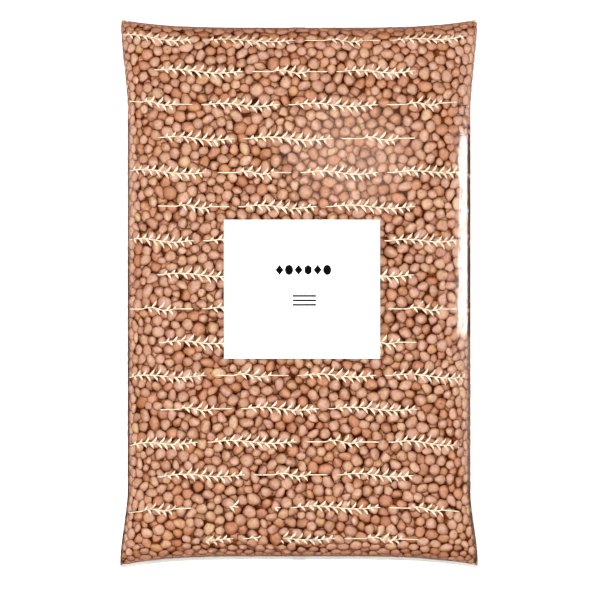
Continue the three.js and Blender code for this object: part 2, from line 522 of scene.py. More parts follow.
@dataclass(frozen=True)
class EdgeSqueeze:
    """Crowds the chickpeas towards the side folds and the seals, where the film closes on them.

    They settle in a form that is larger all round and boxier, and are then drawn in to the bag's own
    form, most of all at its edges. So they fill it right to the edge, and look narrower there.
    """

    form: BagForm
    side_excess: float = 8 * MM
    end_excess: float = 10 * MM
    reach: float = 34 * MM
    front_powers: tuple[float, float] = (4.2, 6.0)
    back_powers: tuple[float, float] = (4.6, 6.0)

    def loose_form(self) -> BagForm:
        """Returns the larger form that the chickpeas settle in."""
        larger = self.form.resized(self.side_excess, self.end_excess)
        return replace(larger, front_powers=self.front_powers, back_powers=self.back_powers)

    def draw_in(self, to_edge: np.ndarray, excess: float) -> np.ndarray:
        """Returns the distance to the bag's edge from the distance to the larger form's edge."""
        crowded = np.clip(1 - to_edge / self.reach, 0, 1)
        return to_edge - excess + excess * crowded**2

    def place(self, points: np.ndarray) -> np.ndarray:
        """Draws points in from the larger form to the bag's own form.

        Args:
            points: Points in the larger form.

        Returns:
            The points in the bag.
        """
        loose = self.loose_form()
        across, along = loose.find_place(points[:, 0], points[:, 1])
        half, root = loose.half_width(along), loose.root_line(across, along)
        from_side = self.draw_in((1 - np.abs(across)) * half, self.side_excess) / (half - self.side_excess)
        from_end = self.draw_in((1 - np.abs(along)) * root, self.end_excess) / (root - self.end_excess)
        low, high = loose.back(across, along)[:, 2], loose.front(across, along)[:, 2]
        share = np.clip((points[:, 2] - low) / (high - low), 0, 1)
        across = np.where(across < 0, -1, 1) * (1 - from_side)
        along = np.where(along < 0, -1, 1) * (1 - from_end)
        low, placed = self.form.back(across, along)[:, 2], self.form.front(across, along)
        placed[:, 2] = low + share * (placed[:, 2] - low)
        return placed


def close_pairs(points: np.ndarray, reach: float) -> tuple[np.ndarray, np.ndarray]:
    """Finds all pairs of points in the same or neighbouring cubes of a grid.

    Args:
        points: The points.
        reach: The cubes' size, at least the distance that matters.

    Returns:
        The two points' numbers for each pair.
    """
    cubes = np.floor((points - points.min(0)) / reach).astype(np.int64) + 1
    size = cubes.max(0) + 2
    keys = (cubes[:, 0] * size[1] + cubes[:, 1]) * size[2] + cubes[:, 2]
    order = np.argsort(keys, kind="stable")
    ordered = keys[order]
    firsts, seconds = [], []
    for x, y, z in itertools.product((-1, 0, 1), repeat=3):
        jump = (x * size[1] + y) * size[2] + z
        if jump < 0:
            continue
        start = np.searchsorted(ordered, keys + jump, "left")
        stop = np.searchsorted(ordered, keys + jump, "right")
        for k in range(int((stop - start).max(initial=0))):
            a = np.nonzero(start + k < stop)[0]
            b = order[start[a] + k]
            keep = a < b if jump == 0 else np.ones(len(a), bool)
            firsts.append(a[keep])
            seconds.append(b[keep])
    return np.concatenate(firsts), np.concatenate(seconds)


@dataclass
class ChickpeaHeap:
    """The chickpeas that lie against the film, settled into a tight uneven packing.

    Only the layers that can be seen are real chickpeas. A dark core of painted shade fills the bag inside them.
    """

    squeeze: EdgeSqueeze
    mean: float = 9.5 * MM
    spread: float = 1.05 * MM
    smallest: float = 7.0 * MM
    largest: float = 12.0 * MM
    front_layer: float = 18.5 * MM
    back_layer: float = 10.5 * MM
    film_gap: float = 0.15 * MM
    deepest_gap: float = 5.0 * MM
    gap_power: float = 1.8
    packing: float = 0.73
    rounds: int = 150
    drifting_rounds: int = 70
    drift: float = 0.22 * MM
    room: Room = field(init=False)
    centres: np.ndarray = field(init=False)
    radii: np.ndarray = field(init=False)
    gaps: np.ndarray = field(init=False)

    def layer_depth(self, inward: np.ndarray) -> np.ndarray:
        """Returns how deep real chickpeas go: less over the back than over the front and sides."""
        return self.front_layer + (self.back_layer - self.front_layer) * smooth_step(inward[:, 2], 0.2, 0.8)

    def settle(self) -> None:
        """Drops chickpeas into the layers at random and pushes them apart until they only touch."""
        self.room = Room(self.squeeze.loose_form())
        draw = np.random.default_rng(SEED)
        low = self.room.low
        span = (np.array(self.room.values.shape[:3]) - 1) * self.room.step
        tries = low + draw.random((60000, 3)) * span
        depth, inward = self.room.look(tries)
        fits = (depth > 0) & (depth < self.layer_depth(inward))
        space = float(np.prod(span)) * fits.mean()
        count = int(self.packing * space / (math.pi / 6 * self.mean**3))
        self.centres = tries[fits][:count].copy()
        sizes = draw.normal(self.mean, self.spread, len(self.centres))
        self.radii = np.clip(sizes, self.smallest, self.largest) / 2
        self.gaps = self.deepest_gap * draw.random(len(self.centres)) ** self.gap_power
        for turn in range(self.rounds):
            self.push_apart()
            self.keep_inside(self.drift if turn < self.drifting_rounds else 0.0)
        log.info("settled %d chickpeas in %.2f litres", len(self.centres), space * 1000)

    def push_apart(self) -> None:
        """Moves every two chickpeas that overlap away from each other."""
        a, b = close_pairs(self.centres, 2 * float(self.radii.max()))
        between = self.centres[a] - self.centres[b]
        distance = np.maximum(np.linalg.norm(between, axis=1), 1e-9)
        overlap = self.radii[a] + self.radii[b] - distance
        touch = overlap > 0
        a, b = a[touch], b[touch]
        push = between[touch] * (0.42 * overlap[touch] / distance[touch])[:, None]
        for axis in range(3):
            self.centres[:, axis] += np.bincount(a, push[:, axis], len(self.centres))
            self.centres[:, axis] -= np.bincount(b, push[:, axis], len(self.centres))

    def keep_inside(self, drift: float) -> None:
        """Lets the chickpeas drift out towards the film, and holds them between it and the core.

        Args:
            drift: How far a chickpea moves outwards if nothing stops it.
        """
        depth, inward = self.room.look(self.centres)
        nearest = self.radii + self.film_gap + self.gaps * smooth_step(-inward[:, 2], 0.7, 0.95)
        wanted = np.clip(depth - drift, nearest, np.maximum(self.layer_depth(inward), nearest))
        self.centres += inward * (wanted - depth)[:, None]


@dataclass(frozen=True)
class ChickpeaMould:
    """One shape of chickpea: a ball with dried-in flats, a beak at one pole and a groove beside it."""

    stretch: tuple[float, float, float]
    beak: float
    groove: float
    flatness: float
    flats: int
    seed: int
    fullness: float = 1.1

    def build(self) -> bmesh.types.BMesh:
        """Returns the shape, of mean radius about 1, with its beak towards +Z."""
        shape = bmesh.new()
        bmesh.ops.create_icosphere(shape, subdivisions=2, radius=1)
        draw = np.random.default_rng(self.seed)
        sides = draw.normal(size=(self.flats, 3))
        sides /= np.linalg.norm(sides, axis=1, keepdims=True)
        levels = self.fullness - self.flatness * draw.uniform(0.4, 1, self.flats)
        for vert in shape.verts:
            way = np.array(vert.co.normalized())
            radius = float(np.min(levels / np.maximum(sides @ way, 0.3), initial=self.fullness))
            radius += self.beak * math.exp((way[2] - 1) / 0.06)
            valley = math.exp(-((way[1] / 0.3) ** 2)) * max(0.0, way[0]) * max(0.0, 1 - abs(way[2] - 0.35))
            radius -= self.groove * valley
            vert.co = Vector(way * radius * np.array(self.stretch))
        return shape


def random_turns(draw: np.random.Generator, count: int) -> np.ndarray:
    """Draws rotations that point every way equally.

    Args:
        draw: The random source.
        count: How many to draw.

    Returns:
        Rotation matrices, one for each.
    """
    q = draw.normal(size=(count, 4))
    w, x, y, z = (q / np.linalg.norm(q, axis=1, keepdims=True)).T
    rows = [
        [1 - 2 * (y * y + z * z), 2 * (x * y - z * w), 2 * (x * z + y * w)],
        [2 * (x * y + z * w), 1 - 2 * (x * x + z * z), 2 * (y * z - x * w)],
        [2 * (x * z - y * w), 2 * (y * z + x * w), 1 - 2 * (x * x + y * y)],
    ]
    return np.moveaxis(np.array(rows), -1, 0)


@dataclass
class Chickpeas:
    """Turns the settled heap into joined meshes of shaped chickpeas."""

    heap: ChickpeaHeap
    moulds: tuple[ChickpeaMould, ...] = (
        ChickpeaMould(stretch=(1.00, 1.00, 1.00), beak=0.06, groove=0.06, flatness=0.34, flats=7, seed=1),
        ChickpeaMould(stretch=(1.10, 0.96, 0.97), beak=0.22, groove=0.16, flatness=0.40, flats=8, seed=2),
        ChickpeaMould(stretch=(0.95, 0.94, 1.14), beak=0.18, groove=0.22, flatness=0.38, flats=8, seed=3),
        ChickpeaMould(stretch=(1.06, 0.89, 1.06), beak=0.30, groove=0.18, flatness=0.40, flats=9, seed=4),
        ChickpeaMould(stretch=(0.98, 1.04, 1.01), beak=0.04, groove=0.04, flatness=0.26, flats=6, seed=5),
        ChickpeaMould(stretch=(1.22, 0.91, 0.93), beak=0.18, groove=0.12, flatness=0.42, flats=9, seed=6),
        ChickpeaMould(stretch=(0.91, 0.91, 1.24), beak=0.22, groove=0.24, flatness=0.36, flats=8, seed=7),
        ChickpeaMould(stretch=(1.03, 0.98, 0.99), beak=0.12, groove=0.05, flatness=0.46, flats=10, seed=8),
        ChickpeaMould(stretch=(1.14, 1.03, 0.86), beak=0.10, groove=0.14, flatness=0.42, flats=10, seed=9),
        ChickpeaMould(stretch=(0.97, 0.92, 1.14), beak=0.28, groove=0.10, flatness=0.44, flats=9, seed=10),
    )

    def build(self) -> None:
        """Makes the front, side, back and lower chickpeas, the many lower ones as two pieces."""
        skin = DriedChickpeaSkin().make()
        # The lower chickpeas get a darker, warmer copy of the skin: painted shade.
        shaded = DriedChickpeaSkin("shaded_chickpea_skin", shade="F4E2D2").make()
        depth, inward = self.heap.room.look(self.heap.centres)
        outer = depth < self.heap.mean * 0.75
        facing_up = inward[:, 2] < -0.72
        facing_down = inward[:, 2] > 0.6
        under = ~outer & ~facing_down
        towards_top = self.heap.centres[:, 1] > 0
        lots = {
            "chickpeas_front": (outer & facing_up, skin),
            "chickpeas_under_top_half": (under & towards_top, shaded),
            "chickpeas_sides": (outer & ~facing_up & ~facing_down, skin),
            "chickpeas_back": (facing_down, skin),
            "chickpeas_under_bottom_half": (under & ~towards_top, shaded),
        }
        for number, (name, (chosen, finish)) in enumerate(lots.items()):
            mesh = self.join(np.nonzero(chosen)[0], SEED + number)
            show_piece(mesh, name, [finish])

    def join(self, chosen: np.ndarray, seed: int) -> bpy.types.Mesh:
        """Joins copies of the moulds at the chosen chickpeas' places.

        Args:
            chosen: Numbers of the chickpeas in the heap.
            seed: Seed of this lot's random draws.

        Returns:
            One mesh, with each point's place on its own skin, its chickpea's tone and its hilum.
        """
        draw = np.random.default_rng(seed)
        turns = random_turns(draw, len(chosen))
        tones = draw.random(len(chosen))
        picks = draw.integers(len(self.moulds), size=len(chosen))
        points, faces, skins, tone_of, beak_of = [], [], [], [], []
        start = 0
        for number, mould in enumerate(self.moulds):
            shape = mould.build()
            corners = np.array([v.co for v in shape.verts])
            hilum = np.array([1.0 if v.co.normalized().z > 0.98 else 0.0 for v in shape.verts])
            triangles = np.array([[v.index for v in f.verts] for f in shape.faces])
            shape.free()
            mine = np.nonzero(picks == number)[0]
            radii = self.heap.radii[chosen[mine]][:, None, None]
            placed = np.einsum("nij,vj->nvi", turns[mine], corners) * radii
            points.append((placed + self.heap.centres[chosen[mine]][:, None]).reshape(-1, 3))
            skin = corners[None] * radii + draw.random((len(mine), 1, 3))
            skins.append(skin.reshape(-1, 3))
            tone_of.append(np.repeat(tones[mine], len(corners)))
            beak_of.append(np.tile(hilum, len(mine)))
            steps = start + np.arange(len(mine))[:, None, None] * len(corners)
            faces.append((triangles[None] + steps).reshape(-1, 3))
            start += len(mine) * len(corners)
        mesh = self.mesh_from(self.heap.squeeze.place(np.concatenate(points)), np.concatenate(faces))
        store(mesh, "skin", np.concatenate(skins))
        store(mesh, "tone", np.concatenate(tone_of))
        store(mesh, "hilum", np.concatenate(beak_of))
        return mesh

    @staticmethod
    def mesh_from(points: np.ndarray, faces: np.ndarray) -> bpy.types.Mesh:
        """Returns a smooth mesh of joined copies."""
        mesh = bpy.data.meshes.new("joined")
        mesh.vertices.add(len(points))
        mesh.vertices.foreach_set("co", points.astype(np.float32).ravel())
        mesh.loops.add(faces.size)
        mesh.loops.foreach_set("vertex_index", faces.astype(np.int32).ravel())
        mesh.polygons.add(len(faces))
        mesh.polygons.foreach_set("loop_start", np.arange(0, faces.size, 3, dtype=np.int32))
        mesh.update(calc_edges=True)
        mesh.polygons.foreach_set("use_smooth", np.ones(len(faces), bool))
        return mesh


@dataclass
class Core:
    """The unlit inside of the heap, a thinner bag-shaped body that fills the gaps between chickpeas."""

    form: BagForm
    depth: float = 13.5 * MM
    rim: float = 1.6 * MM
    floor_gap: float = 9.5 * MM

    def build(self) -> None:
        """Makes the core as one closed lumpy piece."""
        form = self.form.resized(-self.rim, -self.rim, -self.depth, self.floor_gap)
        shell = BagShell(form, columns=60, rows=90).build()
        mesh = mesh_of(shell)
        show_piece(mesh, "core", [ShadedCore().make()])


@dataclass(frozen=True)
class FoldStretch:
    """A stretch along one side fold of the bag, with soft limits."""

    side: int
    width: float
    low: float
    high: float
    strength: float = 1.0
    fade: float = 5 * MM

    def share(self, form: BagForm, points: np.ndarray) -> np.ndarray:
        """Returns how far each point belongs to the stretch, from 0 to its strength."""
        across, along = form.find_place(points[:, 0], points[:, 1])
        from_fold = (1 - np.abs(across)) * form.half_width(along)
        beside = 1 - smooth_step(from_fold, 0.75 * self.width, 1.2 * self.width)
        between = smooth_step(points[:, 1], self.low - self.fade, self.low)
        between *= 1 - smooth_step(points[:, 1], self.high, self.high + self.fade)
        return self.strength * beside * between * (points[:, 0] * self.side > 0)


@dataclass(frozen=True)
class SealSideStrip:
    """A strip of the film beside both seals, with a soft limit."""

    width: float
    strength: float

    def share(self, form: BagForm, points: np.ndarray) -> np.ndarray:
        """Returns how far each point belongs to the strip, from 0 to its strength."""
        across, along = form.find_place(points[:, 0], points[:, 1])
        from_seal = (1 - np.abs(along)) * form.root_line(across, along)
        return self.strength * (1 - smooth_step(from_seal, 0.4 * self.width, self.width))


@dataclass(frozen=True)
class SoftPatch:
    """An oval place on the front of the bag, with a soft limit."""

    middle: tuple[float, float]
    half_size: tuple[float, float]
    strength: float = 1.0

    def share(self, form: BagForm, points: np.ndarray) -> np.ndarray:
        """Returns how far each point belongs to the patch, from 0 to its strength."""
        reach = np.hypot(*((points[:, :2] - self.middle) / self.half_size).T)
        on_front = points[:, 2] > form.edge_height
        return self.strength * (1 - smooth_step(reach, 0.3, 1.2)) * on_front


@dataclass
class Film:
    """The clear film, drawn over the chickpeas, with a crimped weld at both ends."""

    form: BagForm
    heap: ChickpeaHeap
    # Painted shade: browner film beside both seals.
    end_shade_strip: SealSideStrip = SealSideStrip(width=14 * MM, strength=0.42)
    stand_off: FoldStretch = FoldStretch(side=1, width=5.5 * MM, low=-31 * MM, high=136 * MM)
    # Painted sheen added along the dark fold lines.
    painted_fold_sheen: float = 0.35
    # Painted shade: dark lines along the side folds, which also lose their gloss.
    fold_shade_strips: tuple[FoldStretch, ...] = (
        FoldStretch(side=1, width=3.5 * MM, low=-31 * MM, high=137 * MM),
        FoldStretch(side=1, width=3.2 * MM, low=-222 * MM, high=-36 * MM, strength=0.6),
        FoldStretch(side=-1, width=1.7 * MM, low=-222 * MM, high=140 * MM, strength=0.85),
    )
    # Painted sheen: where the film gets a milky diffuse white, beside the seals, in a patch on the front and along both
    # folds.
    painted_sheen_places: tuple[FoldStretch | SealSideStrip | SoftPatch, ...] = (
        SealSideStrip(width=3 * MM, strength=0.8),
        SoftPatch((42 * MM, 112 * MM), (62 * MM, 50 * MM)),
        FoldStretch(side=-1, width=8 * MM, low=40 * MM, high=136 * MM, strength=0.8),
        FoldStretch(side=1, width=10 * MM, low=-150 * MM, high=-40 * MM, strength=0.7),
    )
    columns: int = 138
    rows: int = 210
    seal_rows: int = 16
    rib_height: float = 0.12 * MM
    drape_radius: float = 26 * MM
    clearance: float = 0.2 * MM
    most_sag: float = 0.7 * MM
    smoothings: int = 2
    label_margin: float = 3 * MM
    tree: BVHTree = field(init=False)

    def build(self) -> None:
        """Makes the film as one closed piece that replaces the frame's plain bag."""
        shell = BagShell(self.form, self.columns, self.rows, self.seal_rows, self.rib_height).build()
        self.drape(shell)
        self.tree = BVHTree.FromBMesh(shell)
        points = np.array([v.co for v in shell.verts])
        mesh = mesh_of(shell)
        # Painted shade: a dark line along the side folds.
        crease = sum(stretch.share(self.form, points) for stretch in self.fold_shade_strips)
        # Painted sheen: a milky diffuse white in soft places, and along the dark fold lines.
        painted_sheen = sum(place.share(self.form, points) for place in self.painted_sheen_places)
        store(mesh, "crease", np.clip(crease, 0, 1))
        store(mesh, "painted_sheen", np.clip(painted_sheen + self.painted_fold_sheen * crease, 0, 1))
        # Painted shade: browner film beside both seals.
        store(mesh, "painted_end_shade", self.end_shade_strip.share(self.form, points))
        # The top seal's weld is a whiter, clearer copy; the greyer default white of the bottom seal's weld is painted
        # shade.
        top_weld = CrimpedWeld("clearer_film_weld", white="FAFAF9", whitening=0.2)
        finishes = [PackingFilm().make(), CrimpedWeld().make(), top_weld.make()]
        show_piece(mesh, "film", finishes, stands_for=["bag"])

    def drape(self, shell: bmesh.types.BMesh) -> None:
        """Lays the film on the chickpeas, so that it dips a little between them.

        Args:
            shell: The plain film, whose points are moved along their normals.
        """
        tree = KDTree(len(self.heap.centres))
        for number, centre in enumerate(self.heap.squeeze.place(self.heap.centres)):
            tree.insert(centre, number)
        tree.balance()
        welded = {v for f in shell.faces if f.material_index > 0 for v in f.verts}
        lifted = self.stand_off.share(self.form, np.array([v.co for v in shell.verts]))
        label_low, label_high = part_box("label")
        loose = []
        for vert in shell.verts:
            if vert in welded:
                continue
            x, y, z = vert.co
            under_label = (
                label_low.x - self.label_margin < x < label_high.x + self.label_margin
                and label_low.y - self.label_margin < y < label_high.y + self.label_margin
                and z > self.form.edge_height
            )
            heights = [-self.most_sag]
            for centre, number, _ in tree.find_n(vert.co, 6):
                rise = centre - vert.co
                up = rise.dot(vert.normal)
                aside = (rise - vert.normal * up).length
                top = up + float(self.heap.radii[number]) - aside**2 / (2 * self.drape_radius)
                heights.append(top + self.clearance)
            height = min(max(heights), self.clearance)
            height += (self.clearance - height) * float(lifted[vert.index])
            if not under_label:
                loose.append((vert, height))
        for vert, height in loose:
            vert.co += vert.normal * height
            vert.co.z = max(vert.co.z, self.form.floor_gap)
        verts = [vert for vert, _ in loose]
        for _ in range(self.smoothings):
            bmesh.ops.smooth_vert(shell, verts=verts, factor=0.5, use_axis_x=True, use_axis_y=True, use_axis_z=True)
        shell.normal_update()


@dataclass
class LapSeam:
    """The long weld down the middle of the back, where the film's two edges lap.

    Its ends are caught in both seals and make them thicker there.
    """

    form: BagForm
    width: float = 10.5 * MM
    lift: float = 0.06 * MM
    thickness: float = 0.08 * MM
    end_lifts: tuple[float, float] = (0.4 * MM, 1.5 * MM)
    columns: int = 6
    rows: int = 150
    seal_rows: int = 6

    def build(self) -> None:
        """Makes the seam as one thin closed strip under the film."""
        shape = bmesh.new()
        lines = self.rows + 2 * self.seal_rows
        bmesh.ops.create_grid(shape, x_segments=self.columns, y_segments=lines, size=1)
        flat = np.array([v.co for v in shape.verts])
        line = np.rint((flat[:, 1] + 1) / 2 * lines)
        row = np.clip((line - self.seal_rows) / self.rows, 0, 1) * 2 - 1
        depth = np.clip(np.maximum(self.seal_rows - line, line - self.seal_rows - self.rows) / self.seal_rows, 0, 1)
        along = self.form.back_tables()[1].at_share(row)
        across = flat[:, 0] * self.width / 2 / self.form.half_width(along)
        points = self.form.back(across, along)
        points[:, 2] -= self.lift
        seal = self.form.seal(across, np.sign(row), depth, np.full(len(row), -1.0))
        lift = np.where(row < 0, *self.end_lifts) * np.sqrt(1 - (0.9 * flat[:, 0]) ** 2)
        seal[:, 1] += np.sign(row) * lift * smooth_step(depth, 0.0, 0.3)
        for vert, point in zip(shape.verts, np.where((depth > 0)[:, None], seal, points)):
            vert.co = point
        bmesh.ops.recalc_face_normals(shape, faces=shape.faces)
        bmesh.ops.solidify(shape, geom=shape.faces[:], thickness=self.thickness)
        show_piece(mesh_of(shape), "lap_seam", [CrimpedWeld().make()])


@dataclass(frozen=True)
class PenLine:
    """One printed line on the flat film: its points and its half width at each of them."""

    points: np.ndarray
    half_widths: np.ndarray


@dataclass(frozen=True)
class Sprig:
    """One printed ornament: a gently waving stem between two rows of small solid leaves, with plain ends."""

    leaves: int
    end: float
    pitch: float = 3.1 * MM
    stem_wave: float = 1.3 * MM
    stem_width: float = 0.95 * MM
    leaf_width: float = 1.9 * MM
    leaf_length: float = 8.2 * MM
    shortest_leaf: float = 0.55
    leaf_lean: float = math.radians(47)
    leaf_bend: float = 0.12
    steps: int = 6

    def width(self) -> float:
        """Returns how far the ornament reaches to the right."""
        return 2 * self.end + self.pitch * self.leaves

    def stem(self, x: np.ndarray) -> np.ndarray:
        """Returns the stem's points: straight at both ends and waving between them."""
        along = np.clip((x - self.end) / (self.pitch * self.leaves), 0, 1)
        return np.stack([x, self.stem_wave * np.sin(2 * math.pi * along)], axis=-1)

    def leaf(self, root: np.ndarray, length: float, lean: float) -> PenLine:
        """Gives one solid leaf, pointed at both ends and slightly bent.

        Args:
            root: Where it leaves the stem.
            length: Its length.
            lean: Its direction, in radians from the right.

        Returns:
            A pen line that is widest in the leaf's middle.
        """
        along = np.linspace(0, 1, self.steps + 1)
        ahead = np.array([math.cos(lean), math.sin(lean)])
        across = np.array([ahead[1], -ahead[0]]) * math.copysign(1.0, lean)
        bend = self.leaf_bend * length * np.sin(math.pi * along)
        points = root + length * along[:, None] * ahead + bend[:, None] * across
        return PenLine(points, self.leaf_width / 2 * np.maximum(0.2, np.sin(math.pi * along)))

    def lines(self, draw: np.random.Generator) -> list[PenLine]:
        """Draws the stem and the leaves, which are shorter towards both ends.

        Args:
            draw: The random source, because no two leaves are quite alike.

        Returns:
            Pen lines on the flat film, from the ornament's left end.
        """
        count = max(12, int(self.width() / MM))
        stem = self.stem(np.linspace(0, self.width(), count))
        lines = [PenLine(stem, np.full(count, self.stem_width / 2))]
        for number in range(self.leaves):
            share = (number + 0.5) / self.leaves
            root = self.stem(np.array(self.end + share * self.pitch * self.leaves))
            longer = self.shortest_leaf + (1 - self.shortest_leaf) * math.sin(math.pi * share)
            lean = self.leaf_lean * (-1) ** number + draw.uniform(-0.1, 0.1)
            lines.append(self.leaf(root, self.leaf_length * longer * draw.uniform(0.88, 1.12), lean))
        return lines


@dataclass
class FilmPrint:
    """Rows of white sprigs printed on the front film."""

    form: BagForm
    film: Film
    row_pitch: float = 27.6 * MM
    first_row: float = 209.5 * MM
    rows: int = 16
    full_half: float = 147 * MM
    inset_half: float = 116 * MM
    gap: float = 7 * MM
    lift: float = 0.12 * MM
    thickness: float = 0.05 * MM
    long_sprig: Sprig = Sprig(leaves=18, end=4 * MM)
    longest_sprig: Sprig = Sprig(leaves=21, end=4 * MM)
    short_sprig: Sprig = Sprig(leaves=9, end=16 * MM)
    worn: tuple[tuple[int, float, float], ...] = (
        (14, -78 * MM, -56 * MM),
        (14, -48 * MM, -20 * MM),
        (15, -140 * MM, -74 * MM),
        (15, -30 * MM, -14 * MM),
    )

    def build(self) -> None:
        """Makes all rows as one piece of thin ribbons that lie on the film."""
        draw = np.random.default_rng(SEED + 9)
        shape = bmesh.new()
        for row in range(self.rows):
            sprigs = [self.long_sprig, self.longest_sprig, self.short_sprig]
            sprigs = sprigs[row % 3 :] + sprigs[: row % 3]
            half = self.full_half if row % 2 == 0 else self.inset_half
            level = self.first_row - row * self.row_pitch
            x = -half + draw.uniform(-2, 2) * MM
            for sprig in itertools.cycle(sprigs):
                if x + sprig.width() > half + 6 * MM:
                    break
                for line in sprig.lines(draw):
                    placed = replace(line, points=line.points + np.array([x, level]))
                    for part in self.printed_parts(placed, row):
                        self.lay_ribbon(shape, part)
                x += sprig.width() + self.gap
        bmesh.ops.solidify(shape, geom=shape.faces[:], thickness=self.thickness)
        show_piece(mesh_of(shape), "print", [WhiteFilmInk().make()])

    def printed_parts(self, line: PenLine, row: int) -> list[PenLine]:
        """Splits a pen line where it is worn off, hidden under the label or past the film's edge.

        Args:
            line: The pen line on the flat film.
            row: The row that it belongs to.

        Returns:
            The parts that show.
        """
        path = line.points
        low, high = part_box("label")
        across, along = self.form.front_tables()
        reach = across.total() / 2 - 3 * MM
        u = across.at_length(np.clip(path[:, 0], -reach, reach))
        v = along.at_length(path[:, 1])
        x, y = self.form.flat_place(u, v)
        margin = 2 * MM
        covered = (x > low.x + margin) & (x < high.x - margin) & (y > low.y + margin) & (y < high.y - margin)
        shown = ~covered & (np.abs(path[:, 0]) < reach) & (np.abs(path[:, 1]) < along.total() / 2 - 2 * MM)
        for worn_row, start, end in self.worn:
            if row == worn_row:
                shown &= ~((path[:, 0] > start) & (path[:, 0] < end))
        edges = np.flatnonzero(np.diff(np.concatenate([[0], shown.astype(int), [0]])))
        runs = [slice(a, b) for a, b in zip(edges[::2], edges[1::2]) if b - a > 3]
        return [PenLine(path[run], line.half_widths[run]) for run in runs]

    def lay_ribbon(self, shape: bmesh.types.BMesh, line: PenLine) -> None:
        """Adds one thin ribbon along a pen line, laid on the film.

        Args:
            shape: The bmesh that holds all ribbons.
            line: The pen line on the flat film.
        """
        path = line.points
        ahead = np.gradient(path, axis=0)
        ahead /= np.maximum(np.linalg.norm(ahead, axis=1, keepdims=True), 1e-9)
        aside = np.stack([-ahead[:, 1], ahead[:, 0]], axis=1)
        made = bmesh.ops.create_grid(shape, x_segments=len(path) - 1, y_segments=1, size=1)["verts"]
        place = np.array([v.co for v in made])
        step = np.rint((place[:, 0] + 1) / 2 * (len(path) - 1)).astype(int)
        taper = np.clip(np.minimum(step, len(path) - 1 - step) / 2 + 0.35, 0, 1)
        flat = path[step] + aside[step] * (place[:, 1] * taper * line.half_widths[step])[:, None]
        across, along = self.form.front_tables()
        high = self.form.front(across.at_length(flat[:, 0]), along.at_length(flat[:, 1]))
        for vert, point in zip(made, high):
            start = Vector(point) + Vector((0, 0, 20 * MM))
            hit, normal, _, _ = self.film.tree.ray_cast(start, Vector((0, 0, -1)))
            vert.co = Vector(point) if hit is None else hit + normal * self.lift
        faces = list({f for v in made for f in v.link_faces})
        bmesh.ops.recalc_face_normals(shape, faces=faces)
        if sum(f.normal.z for f in faces) < 0:
            bmesh.ops.reverse_faces(shape, faces=faces)


class Mark(Enum):
    """Simple shapes in the place of the label's words, by their number of corners."""

    DISC = 24
    LOZENGE = 4
    HEXAGON = 6


@dataclass
class Label:
    """The stuck-on paper label: the frame's own plate in paper, with simple dark marks on it."""

    mark_height: float = 8.3 * MM
    mark_pitch: float = 7.7 * MM
    mark_row: tuple[float, float] = (3.5 * MM, 20.2 * MM)
    marks: tuple[Mark, ...] = (Mark.LOZENGE, Mark.DISC, Mark.LOZENGE, Mark.HEXAGON, Mark.LOZENGE, Mark.DISC)
    lower_row: tuple[float, float] = (4.3 * MM, -4.4 * MM)
    lower_size: tuple[float, float] = (19 * MM, 1.6 * MM)
    lower_lines: int = 3
    lower_pitch: float = 3.6 * MM
    lift: float = 0.06 * MM

    def build(self) -> None:
        """Dresses the label's plate and lays the marks on it."""
        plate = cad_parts["label"]
        plate.data.materials.clear()
        plate.data.materials.append(LabelPaper().make())
        tree = BVHTree.FromObject(plate, bpy.context.evaluated_depsgraph_get())
        shape = bmesh.new()
        start = self.mark_row[0] - self.mark_pitch * (len(self.marks) - 1) / 2
        for number, mark in enumerate(self.marks):
            place = (start + number * self.mark_pitch, self.mark_row[1])
            made = bmesh.ops.create_circle(shape, cap_ends=True, segments=mark.value, radius=self.mark_height / 2)
            self.place(made["verts"], place, (0.8, 1.0))
        for line in range(self.lower_lines):
            y = self.lower_row[1] + (line - (self.lower_lines - 1) / 2) * self.lower_pitch
            made = bmesh.ops.create_grid(shape, x_segments=8, y_segments=1, size=1)
            size = (self.lower_size[0] / 2, self.lower_size[1] / 2)
            self.place(made["verts"], (self.lower_row[0], y), size)
        for vert in shape.verts:
            hit, _, _, _ = tree.ray_cast(Vector((vert.co.x, vert.co.y, 1.0)), Vector((0, 0, -1)))
            vert.co.z = hit.z + self.lift
        bmesh.ops.recalc_face_normals(shape, faces=shape.faces)
        show_piece(mesh_of(shape, smooth=False), "label_marks", [BlackPrintInk().make()])

    @staticmethod
    def place(verts: Sequence[bmesh.types.BMVert], middle: tuple[float, float], size: tuple[float, float]) -> None:
        """Scales some points and moves them to their place over the label."""
        for vert in verts:
            vert.co = Vector((middle[0] + vert.co.x * size[0], middle[1] + vert.co.y * size[1], 0))


